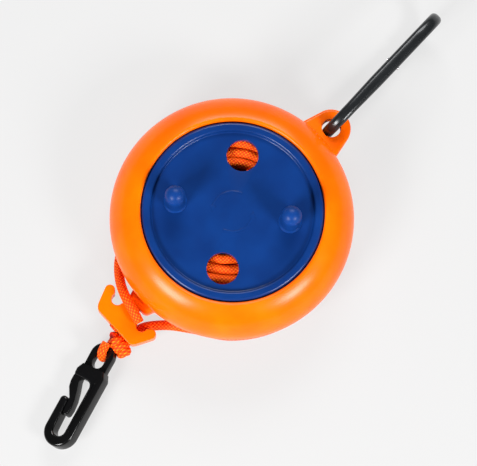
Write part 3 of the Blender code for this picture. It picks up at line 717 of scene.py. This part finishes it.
def front_profile():
    outer = arc(ROUND_CENTRE_R, ROUND_R, ROUND_R, 70, -4, 36)
    inner = arc(ROUND_CENTRE_R, ROUND_R, ROUND_R - WALL, -4, 64, 12)
    lip = [(LIP_R + LIP_WALL, inner[-1][1] - 0.4 * MM), (LIP_R + LIP_WALL, LIP_BASE_Z), (LIP_R, LIP_BASE_Z)]
    rolled = arc(LIP_R + LIP_ROLL_R, outer[0][1] - 1.45 * MM, LIP_ROLL_R, 180, 100, 8)
    return outer + inner + lip + rolled


def rear_profile():
    outer = arc(ROUND_CENTRE_R, ROUND_R, ROUND_R, 4, -90, 42)
    inner = arc(ROUND_CENTRE_R, ROUND_R, ROUND_R - WALL, -90, 4, 12)
    post = [(0, POST_TOP_Z), (POST_R, POST_TOP_Z), (POST_R, WALL)]
    return post + inner + outer + [(0, 0)]


def gate_mark():
    """The small pip that the moulding gate leaves on the front shell, by the eyelet's root."""
    bm = bmesh.new()
    bmesh.ops.create_uvsphere(bm, u_segments=20, v_segments=12, radius=GATE_MARK_R)
    x, y = GATE_MARK_AT
    height = SPLIT_Z + math.sqrt(ROUND_R ** 2 - (x - ROUND_CENTRE_R) ** 2)
    bmesh.ops.translate(bm, verts=bm.verts, vec=(x, y, height - 0.1 * MM))
    return from_bmesh("gate_mark", bm)


class CORDREEL_OT_case(bpy.types.Operator):
    """Makes the two orange shells with the eyelet tab and the spout"""

    bl_idname = "cord_reel.case"
    bl_label = "Case"

    def execute(self, context):
        steps = context.scene.cord_reel_sizes.round_steps
        orange = finish_for("orange_shell")
        front = turned("front_shell", front_profile(), steps)
        front = combine(front, "UNION", [rounded_tab(SPLIT_Z + TAB_HALF_T, SPLIT_Z - TAB_PAST_SPLIT),
                                         gate_mark()])
        front = combine(front, "DIFFERENCE", [beyond_split(SPLIT_Z - 10 * MM, SPLIT_Z + GAP / 2),
                                              eyelet_hole()])
        kept(shaded(softened(front, 0.35 * MM)), "case", "orange_shell", orange, "front_case")

        rear = turned("rear_shell", rear_profile(), steps)
        spout = plate("spout", [(SPOUT_ROOT_X, -SPOUT_ROOT_HALF), (SPOUT_ROOT_X, SPOUT_ROOT_HALF),
                                (SPOUT_END_X, SPOUT_END_HALF), (SPOUT_END_X, -SPOUT_END_HALF)],
                      SPOUT_Z - SPOUT_HALF_H, SPOUT_Z + SPOUT_HALF_H, SPOUT_EDGE_R, 6)
        rear = combine(rear, "UNION", [rounded_tab(SPLIT_Z - TAB_HALF_T, SPLIT_Z + TAB_PAST_SPLIT), spout])
        bores = [beyond_split(SPLIT_Z - GAP / 2, SPLIT_Z + 10 * MM), eyelet_hole(),
                 along_x(SPOUT_BORE_R, SPOUT_END_X - 1 * MM, -45 * MM, 0, SPOUT_Z),
                 along_x(SPOUT_BORE_R, -59 * MM, -50 * MM, 0, SPOUT_Z, 2.1)]
        bores += [cylinder("well", SCREW_HEAD_R + GAP, -1 * MM, SCREW_SEAT_Z, polar(SCREW_RING_R, angle))
                  for angle in SCREW_ANGLES]
        rear = combine(rear, "DIFFERENCE", bores)
        kept(shaded(softened(rear, 0.3 * MM)), "case", "orange_shell", orange, "rear_case")
        return {"FINISHED"}


# ---------------------------------------------------------------- spool

def disc_profile():
    profile = [(0, DISC_UNDER_Z), (DISC_SKIRT_R - 0.6 * MM, DISC_UNDER_Z),
               (DISC_SKIRT_R, DISC_UNDER_Z + 0.6 * MM), (DISC_SKIRT_R, DISC_SKIRT_Z),
               (DISC_R, DISC_SKIRT_Z), (DISC_R, DISC_TOP_Z - DISC_RIM_OUTER_EDGE_R)]
    edge = DISC_RIM_OUTER_EDGE_R
    profile += arc(DISC_R - edge, DISC_TOP_Z - edge, edge, 6, 90, 10)
    edge = DISC_RIM_INNER_EDGE_R
    profile += arc(DISC_RIM_INNER_R + edge, DISC_TOP_Z - edge, edge, 90, 180, 8)
    edge = DISC_FLOOR_EDGE_R
    profile += arc(DISC_RIM_INNER_R - edge, DISC_FLOOR_Z + edge, edge, 0, -90, 8)
    return profile + [(0, DISC_FLOOR_Z)]


def peg_profile():
    foot_z = DISC_FLOOR_Z + 0.05 * MM
    dome = [(0, PEG_TOP_Z)] + arc(0, PEG_TOP_Z - PEG_R, PEG_R, 86, 0, 18)
    foot = arc(PEG_R + PEG_FILLET_R, foot_z + 1.5 * MM, PEG_FILLET_R, 180, 235, 6)
    return dome + foot + [(PEG_FOOT_R, foot_z + 0.3 * MM), (PEG_FOOT_R, foot_z), (0, foot_z)]


def turn_arrow(start):
    """A third of a plain ring with an arrowhead: the way to wind."""
    swept_angles = range(0, ARROW_SWEEP + 1, 4)
    middle = (ARROW_INNER_R + ARROW_OUTER_R) / 2
    tip = [polar(ARROW_OUTER_R + ARROW_HEAD_OUT, start + ARROW_SWEEP), polar(middle, start + ARROW_TIP_SWEEP),
           polar(ARROW_INNER_R - ARROW_HEAD_OUT, start + ARROW_SWEEP)]
    outer = [polar(ARROW_OUTER_R, start + a) for a in swept_angles]
    return outer + tip + [polar(ARROW_INNER_R, start + a) for a in reversed(swept_angles)]


class CORDREEL_OT_spool(bpy.types.Operator):
    """Makes the blue disc with its raised rim, windows, winding arrows and finger pegs"""

    bl_idname = "cord_reel.spool"
    bl_label = "Spool"

    def execute(self, context):
        steps = context.scene.cord_reel_sizes.round_steps
        blue = finish_for("blue_disc")
        disc = turned("disc", disc_profile(), steps)
        windows = [cylinder("window", WINDOW_R, 30 * MM, 45 * MM, polar(FEATURE_R, SPOOL_TURN + side), 72)
                   for side in (0, 180)]
        disc = combine(disc, "DIFFERENCE", windows)
        kept(shaded(softened(disc, 0.35 * MM)), "spool", "blue_disc", blue, "spool_disc")
        for number, side in enumerate((90, 270), 1):
            peg = turned(f"peg_{number}", peg_profile(), 56)
            peg.data.transform(Matrix.Translation((*polar(FEATURE_R, SPOOL_TURN + side), 0)))
            # The pegs' lighter blue is painted light on the disc's colour.
            kept(shaded(peg, 40), "spool", "blue_disc", finish_for("blue_peg"), f"finger_peg_{number}")
        for number, start in enumerate((20, 200), 1):
            arrow = plate(f"turn_arrow_{number}", turn_arrow(start), DISC_FLOOR_Z - 0.1 * MM,
                          DISC_FLOOR_Z + ARROW_PROUD, ARROW_PROUD / 2, 2)
            kept(shaded(arrow), "spool", "blue_disc", blue)
        return {"FINISHED"}


def winding_route():
    """One cord wound on the drum: each level a flat spiral, in and out by turns, up to the disc."""
    turns = (WINDING_LAST_R - WINDING_FIRST_R) / (2 * CORD_R / MM)
    rise = (WINDING_HIGH_Z - WINDING_LOW_Z) / (WINDING_LEVELS - 1)
    points = []
    angle = 0.0
    for level in range(WINDING_LEVELS):
        count = round(turns * WINDING_TURN_POINTS)
        for i in range(count):
            share = i / count
            reach = share if level % 2 == 0 else 1 - share
            radius = WINDING_FIRST_R + (WINDING_LAST_R - WINDING_FIRST_R) * reach
            climb = max(0.0, (share - WINDING_CLIMB_FROM) / (1 - WINDING_CLIMB_FROM))
            lift = climb if level < WINDING_LEVELS - 1 else 0.0
            wander = 0.7 * math.sin(3.1 * angle + level) + 0.3 * math.sin(7.3 * angle)
            height = WINDING_LOW_Z + rise * (level + lift) + 0.35 * math.sin(2.3 * angle + 2 * level)
            points.append((*(c * (radius + wander) for c in (math.cos(angle), math.sin(angle))), height))
            angle += math.tau * turns / count
    return points


class CORDREEL_OT_winding(bpy.types.Operator):
    """Winds the cord on the drum, seen through the windows"""

    bl_idname = "cord_reel.winding"
    bl_label = "Wound cord"

    def execute(self, context):
        path = np.array(winding_route()) * MM
        travelled = lengths_along(path)
        last = travelled[-1] * (WINDING_LEVELS - 1) / WINDING_LEVELS
        inner = path[travelled < last]
        spacing = context.scene.cord_reel_sizes.cord_fineness
        outer = spread([Vector(p) for p in path[travelled >= last]], spacing)
        cord = finish_for("orange_cord")
        inner = cord_tube("wound_cord_inner", inner, sides=12)
        kept(inner, "spool", "orange_cord", cord, "cord_winding")
        kept(cord_tube("wound_cord_top", outer), "spool", "orange_cord", cord, "cord_winding")
        return {"FINISHED"}


# ---------------------------------------------------------------- cord, cleat and knot

def hook_place():
    return (Matrix.Translation(HOOK_AT) @ Matrix.Rotation(HOOK_HEADING, 4, "Z")
            @ Matrix.Rotation(HOOK_ROLL, 4, "X"))


def knot_route():
    """The knot's turns: the cord wrapped three times about itself, slanting."""
    points = []
    for i in range(KNOT_STEPS + 1):
        share = i / KNOT_STEPS
        angle = math.tau * KNOT_TURNS * share + KNOT_START
        swell = 0.75 + 0.45 * math.sin(math.pi * share)
        points.append((KNOT_AT.x + KNOT_HALF_WIDE * swell * math.cos(angle),
                       KNOT_AT.y + KNOT_HALF_LONG * (2 * share - 1),
                       KNOT_AT.z + KNOT_HALF_HIGH * swell * math.sin(angle)))
    return points


class CORDREEL_OT_cord(bpy.types.Operator):
    """Lays the free cord: out of the spout, the knot, the loop and the stretch round the case"""

    bl_idname = "cord_reel.cord"
    bl_label = "Free cord"

    def execute(self, context):
        fineness = context.scene.cord_reel_sizes.cord_fineness / MM
        cord = finish_for("orange_cord")
        knot = cord_tube("knot", routed(knot_route(), SHORT_CORD_SPACING))
        kept(knot, "case", "orange_cord", cord, "stopper_knot")
        loop = cord_tube("loop", routed(LOOP_ROUTE, SHORT_CORD_SPACING, hook_place()), LOOP_R)
        kept(loop, "case", "orange_cord", cord, "hook_loop")

        path = routed(LEAD_ROUTE, fineness)
        lead = cord_tube("lead_cord", path)
        kept(lead, "case", "orange_cord", cord, "cord_lead")

        path = routed(TAIL_OUT + wrap_route() + TAIL_BACK, fineness)
        path[:, 2] = np.maximum(path[:, 2], TABLE_Z * MM)
        tail = cord_tube("tail_cord", path)
        kept(tail, "case", "orange_cord", cord, "cord_tail")
        return {"FINISHED"}


def cleat_outline():
    """Back edge straight, two horns that lean out, a round notch inside each, a hump between them."""
    horn = arc(HORN_X, HORN_Y, HORN_R, 110, -60, 20)
    notch = arc(NOTCH_X, NOTCH_Y, NOTCH_R, 75, 270, 26)
    half = [(CLEAT_BACK_X, 10.8 * MM), (CLEAT_BACK_X + 0.3 * MM, 11.8 * MM),
            (CLEAT_BACK_X + 0.9 * MM, 12.6 * MM), (CLEAT_BACK_X + 2 * MM, 13.5 * MM),
            (CLEAT_BACK_X + 3.4 * MM, 14.2 * MM)] + horn + notch
    half += [(HUMP_X - 0.6 * MM, 5.6 * MM), (HUMP_X, 4.6 * MM)]
    return half + [(x, -y) for x, y in reversed(half)]


class CORDREEL_OT_cleat(bpy.types.Operator):
    """Makes the two-horned cleat that the cord is hitched to"""

    bl_idname = "cord_reel.cleat"
    bl_label = "Cleat"

    def execute(self, context):
        piece = plate("cleat_piece", cleat_outline(), CLEAT_LOW_Z, CLEAT_HIGH_Z, CLEAT_EDGE_R, 6)
        bore = along_x(CLEAT_BORE_R, CLEAT_BACK_X - 2 * MM, HUMP_X + 2 * MM, 0, SPOUT_Z)
        piece = combine(piece, "DIFFERENCE", [bore])
        kept(shaded(piece, 40), "case", "orange_shell", finish_for("orange_shell"), "cleat")
        return {"FINISHED"}


# ---------------------------------------------------------------- snap hook

def hook_outline():
    """Eye, shoulders, full limb, round end and nose, seen square on."""
    end = HOOK_LONG - HOOK_HALF
    inner = HOOK_HALF - HOOK_LIMB
    eye = arc(HOOK_EYE_R, 0, HOOK_EYE_R, 180, 90, 20)
    foot = arc(end, 0, HOOK_HALF, 90, -90, 40)
    nose = arc(HOOK_NOSE_START, -HOOK_HALF + HOOK_NOSE_HALF, HOOK_NOSE_HALF, -90, -270, 18)
    hollow = arc(end - 0.4 * MM, -0.1 * MM, inner, -90, 90, 28)
    top = arc(HOOK_HOLLOW_START, -0.2 * MM, HOOK_HOLLOW_R, 90, 180, 12)
    shoulder = [(12.5 * MM, 6.3 * MM), (13.6 * MM, 6.5 * MM), (14.6 * MM, 6.9 * MM),
                (15.8 * MM, 7.6 * MM), (17 * MM, HOOK_HALF)]
    left = [(20.6 * MM, -4.6 * MM), (20.6 * MM, -8 * MM)] + [(x, -y) for x, y in reversed(shoulder)]
    return eye + shoulder + foot + nose + hollow + top + left + [(x, -y) for x, y in reversed(eye[1:])]


def slot_outline(first, last, half, y=0.0):
    """A slot's outline, given the centres of its two round ends."""
    return arc(last, y, half, 90, -90, 20) + arc(first, y, half, -90, -270, 20)


def tongue_outline():
    """The springy tongue: a thick root, a lean to the nose's inside and a thumb step at its end."""
    points = [(18.6, -7.7), (21.5, -8.1), (24, -8.05), (27, -7.3), (30.4, -5.1), (31.8, -4.1), (35, -3.85),
              (39.4, -3.5), (40.4, -2.7), (40.6, -1.7), (39.6, -0.7), (36.5, -0.4), (32, -0.9), (27, -2.3),
              (22.5, -4), (18.6, -4.6)]
    return [(x * MM, y * MM) for x, y in points]


class CORDREEL_OT_snap_hook(bpy.types.Operator):
    """Makes the moulded snap hook and its tongue"""

    bl_idname = "cord_reel.snap_hook"
    bl_label = "Snap hook"

    def execute(self, context):
        black = finish_for("black_plastic")
        body = plate("hook_body", hook_outline(), -HOOK_HALF_T, HOOK_HALF_T, HOOK_EDGE_R, 6)
        slot = slot_outline(HOOK_SLOT_START + HOOK_SLOT_R, HOOK_EYE_END - HOOK_SLOT_R, HOOK_SLOT_R)
        cuts = [plate("slot", slot, -HOOK_PAST_T, HOOK_PAST_T)]
        groove = slot_outline(*HOOK_GROOVE, HOOK_GROOVE_HALF, HOOK_GROOVE_Y)
        for side in (1, -1):
            low, high = sorted((side * HOOK_EYE_HALF_T, side * (HOOK_EYE_HALF_T + HOOK_PAST_T)))
            cuts.append(block("face", (-2 * MM, -12 * MM, low), (13.8 * MM, 12 * MM, high)))
            low, high = sorted((side * (HOOK_HALF_T - HOOK_GROOVE_DEEP), side * HOOK_PAST_T))
            cuts.append(plate("groove", groove, low, high))
        body = softened(combine(body, "DIFFERENCE", cuts), 0.4 * MM, 3)
        body.data.transform(hook_place())
        kept(shaded(body, 40), "snap_hook", "black_plastic", black, "snap_hook")

        tongue = plate("hook_tongue", tongue_outline(), -HOOK_TONGUE_HALF_T, HOOK_TONGUE_HALF_T,
                       0.6 * MM, 4, 24)
        tongue.data.transform(hook_place())
        kept(shaded(tongue, 40), "snap_hook_gate", "black_plastic", black, "snap_hook_gate")
        return {"FINISHED"}


# ---------------------------------------------------------------- carabiner

def carabiner_place():
    return (Matrix.Translation(CARABINER_AT) @ Matrix.Rotation(CARABINER_TURN, 4, "Z")
            @ Matrix.Rotation(CARABINER_NOSE_DOWN, 4, "Y")
            @ Matrix.Rotation(math.pi / 2 + CARABINER_LEAN, 4, "X"))


def across_gate(name, radius, u, half, rounded=0.0):
    """A pin across the carabiner's thickness, in its own frame, its ends domed a little."""
    pin = cylinder(name, radius, -half, half, (u, -CARABINER_HALF), 32)
    return softened(pin, rounded, 4) if rounded else pin


def bar_section(radius, sides):
    """A bar's section, a little squarer than round"""
    even = round_section(1, sides)
    reach = (np.abs(even) ** BAR_SQUARENESS).sum(axis=1) ** (-1 / BAR_SQUARENESS)
    return even * reach[:, None] * radius


def thickened(bar):
    """Makes the bar thicker across the carabiner, away from the eyelet that it swings in"""
    for vert in bar.data.vertices:
        grown = min(max((vert.co.x - THICKER_FROM) / (THICKER_TO - THICKER_FROM), 0), 1)
        vert.co.z *= 1 + (BAR_THICKER - 1) * grown
    return bar


class CORDREEL_OT_carabiner(bpy.types.Operator):
    """Makes the carabiner's frame, its sprung gate and the gate's pins"""

    bl_idname = "cord_reel.carabiner"
    bl_label = "Carabiner"

    def execute(self, context):
        middle = -CARABINER_HALF
        line = routed([(u, v, 0) for u, v in FRAME_LINE], 0.7)
        bar = thickened(swept("carabiner_bar", line, bar_section(BAR_R, BAR_SIDES)))
        tongues = [block("tongue", (start, middle - TONGUE_HALF_WIDE, -TONGUE_HALF_T),
                         (end, middle + TONGUE_HALF_WIDE, TONGUE_HALF_T))
                   for start, end in (HINGE_TONGUE, NOSE_TONGUE)]
        bar = combine(bar, "UNION", tongues)
        notch = block("notch", (NOSE_PIN_U - RIVET_R - 0.25 * MM, middle - RIVET_R - 0.2 * MM, -2 * MM),
                      (NOSE_PIN_U + RIVET_R + 0.25 * MM, middle + 3 * MM, 2 * MM))
        bore = across_gate("bore", RIVET_R + 0.08 * MM, GATE_HINGE_U, 4 * MM)
        bar = combine(bar, "DIFFERENCE", [notch, bore])
        bar = softened(bar, 0.3 * MM)
        bar.data.transform(carabiner_place())
        kept(shaded(bar, 40), "carabiner", "black_anodised", finish_for("black_anodised"), "carabiner_frame")

        steel = finish_for("bright_steel")
        gate = along_x(GATE_R, GATE_LOW_U, GATE_END_U, middle, 0)
        slots = [block("slot", (start, middle - 4 * MM, -SLOT_HALF_T), (end, middle + 4 * MM, SLOT_HALF_T))
                 for start, end in ((GATE_LOW_U - 1 * MM, HINGE_SLOT_END),
                                    (NOSE_SLOT_START, GATE_END_U + 1 * MM))]
        gate = softened(combine(gate, "DIFFERENCE", slots), 0.35 * MM, 4)
        gate.data.transform(carabiner_place())
        kept(shaded(gate, 40), "carabiner_gate", "bright_steel", steel, "carabiner_gate")
        for name, u, half, body, node in (
                ("rivet", GATE_HINGE_U, RIVET_HALF, "carabiner", "gate_rivet"),
                ("catch_pin", NOSE_PIN_U, CATCH_PIN_HALF, "carabiner_gate", "nose_pin")):
            pin = across_gate(name, RIVET_R, u, half, 0.3 * MM)
            pin.data.transform(carabiner_place())
            kept(shaded(pin, 50), body, "bright_steel", steel, node)
        return {"FINISHED"}


# ---------------------------------------------------------------- carried-over solids, stage and panel

CARRIED = {
    "bright_steel": [*(f"case_screw_{i}" for i in (1, 2, 3, 4)), *(f"spool_screw_{i}" for i in (1, 2, 3)),
                     "axle_screw", "axle_washer", "gate_spring"],
    "nylon": ["axle_bush", "thrust_washer"],
    "blue_disc": ["spool_core"],
}


class CORDREEL_OT_carried(bpy.types.Operator):
    """Gives the solids that are shown as they are their finish: screws, axle, bush and spool core"""

    bl_idname = "cord_reel.carried"
    bl_label = "Inner parts"

    def execute(self, context):
        for slot, nodes in CARRIED.items():
            for node in nodes:
                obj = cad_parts[node]
                obj.data.materials.clear()
                obj.data.materials.append(finish_for(slot))
        return {"FINISHED"}


def softbox(name, direction, distance, size, power):
    """A rectangular soft light that faces the reel from a direction in the view's own axes."""
    right, up, back = direction
    towards = (VIEW_RIGHT * right + VIEW_UP * up + Vector((0, 0, 1)) * back).normalized()
    light = bpy.data.lights.new(name, "AREA")
    light.shape = "RECTANGLE"
    light.size, light.size_y = size
    light.energy = power
    lamp = bpy.data.objects.new(name, light)
    lamp.location = VIEW_AIM + towards * distance
    lamp.rotation_euler = towards.to_track_quat("Z", "Y").to_euler()
    bpy.context.scene.collection.objects.link(lamp)


class CORDREEL_OT_stage(bpy.types.Operator):
    """Sets the pale floor, the soft lights and the camera"""

    bl_idname = "cord_reel.stage"
    bl_label = "Stage"

    def execute(self, context):
        look = context.scene.cord_reel_look
        bm = bmesh.new()
        bmesh.ops.create_grid(bm, x_segments=8, y_segments=8, size=FLOOR_HALF)
        floor = from_bmesh("floor", bm)
        floor.location = (0, 0, -FLOOR_DROP)
        finish = Finish("floor", tuple(look.floor), 0.85, emission_strength=look.glow, specular_ior_level=0.0)
        finish.set("Emission Color", (1, 1, 1, 1))
        finish.set("Roughness", 0.8 + 0.1 * finish.noise(90, 3))
        floor.data.materials.append(finish.material)

        world = bpy.data.worlds.new("studio")
        world.use_nodes = True
        background = world.node_tree.nodes["Background"]
        background.inputs["Color"].default_value = (1, 1, 1, 1)
        background.inputs["Strength"].default_value = look.fill
        context.scene.world = world
        softbox("left_light", *LEFT_LIGHT, look.key)
        softbox("right_light", *RIGHT_LIGHT, look.key * RIGHT_SHARE)
        softbox("back_light", *BACK_LIGHT, look.back)
        context.scene.view_settings.view_transform = "Standard"

        camera = bpy.data.cameras.new("view")
        camera.sensor_width = SENSOR_WIDTH
        camera.lens = SENSOR_WIDTH * VIEW_DISTANCE / VIEW_WIDTH
        camera.clip_start = 0.05
        right = VIEW_UP.cross(VIEW_BACK).normalized()
        up = VIEW_BACK.cross(right)
        eye = bpy.data.objects.new("view", camera)
        turn = Matrix((right, up, VIEW_BACK)).transposed().to_4x4()
        eye.matrix_world = Matrix.Translation(VIEW_AIM + VIEW_BACK * VIEW_DISTANCE) @ turn
        context.scene.collection.objects.link(eye)
        context.scene.camera = eye
        return {"FINISHED"}


class CordReelSizes(bpy.types.PropertyGroup):
    round_steps: IntProperty(name="Round steps", description="Facets round the case and the disc",
                             default=180, min=24, max=720)
    cord_fineness: FloatProperty(name="Cord fineness", description="Spacing of the rings along a free cord",
                                 default=0.42 * MM, min=0.1 * MM, max=5 * MM, precision=5, unit="LENGTH")


class CordReelColours(bpy.types.PropertyGroup):
    shell: FloatVectorProperty(name="Shell", description="Colour of the moulded case and cleat",
                               default=(1.0, 0.155, 0.0), min=0, max=1, subtype="COLOR")
    disc: FloatVectorProperty(name="Disc", description="Colour of the spool's disc and pegs",
                              default=(0.003, 0.03, 0.155), min=0, max=1, subtype="COLOR")
    cord: FloatVectorProperty(name="Cord", description="Colour of the cord's yarns where they stand out",
                              default=(1.0, 0.125, 0.001), min=0, max=1, subtype="COLOR")


class CordReelLook(bpy.types.PropertyGroup):
    floor: FloatVectorProperty(name="Floor", description="Colour of the floor", default=(0.12, 0.12, 0.12),
                               min=0, max=1, subtype="COLOR")
    key: FloatProperty(name="Key lights", description="Power of the two low soft lights",
                       default=16.0, min=0, unit="POWER")
    back: FloatProperty(name="Back light", description="Power of the soft light from beyond the reel",
                        default=17.0, min=0, unit="POWER")
    glow: FloatProperty(name="Floor glow", description="How far the floor shines by itself, as a light table",
                        default=0.66, min=0, max=2, subtype="FACTOR")
    fill: FloatProperty(name="Fill", description="Strength of the even light from all sides",
                        default=0.1, min=0, max=4, subtype="FACTOR")


GROUPS = {"cord_reel_sizes": CordReelSizes, "cord_reel_colours": CordReelColours,
          "cord_reel_look": CordReelLook}
OPERATORS = (CORDREEL_OT_case, CORDREEL_OT_spool, CORDREEL_OT_winding, CORDREEL_OT_cleat,
             CORDREEL_OT_snap_hook, CORDREEL_OT_cord, CORDREEL_OT_carabiner, CORDREEL_OT_carried,
             CORDREEL_OT_stage)


class CORDREEL_PT_panel(bpy.types.Panel):
    """Lists the reel's sizes, colours and pieces"""

    bl_idname = "CORDREEL_PT_panel"
    bl_label = "Cord reel"
    bl_space_type = "VIEW_3D"
    bl_region_type = "UI"
    bl_category = "Cord reel"

    def draw(self, context):
        for name, group in GROUPS.items():
            for prop in group.__annotations__:
                self.layout.prop(getattr(context.scene, name), prop)
        for operator in OPERATORS:
            self.layout.operator(operator.bl_idname)


def register():
    for name, group in GROUPS.items():
        bpy.utils.register_class(group)
        setattr(bpy.types.Scene, name, PointerProperty(type=group))
    for operator in OPERATORS:
        bpy.utils.register_class(operator)
    bpy.utils.register_class(CORDREEL_PT_panel)


def unregister():
    bpy.utils.unregister_class(CORDREEL_PT_panel)
    for operator in reversed(OPERATORS):
        bpy.utils.unregister_class(operator)
    for name, group in GROUPS.items():
        delattr(bpy.types.Scene, name)
        bpy.utils.unregister_class(group)


def main():
    register()
    for operator in OPERATORS:
        group, name = operator.bl_idname.split(".")
        getattr(getattr(bpy.ops, group), name)()


if __name__ == "__main__":
    main()
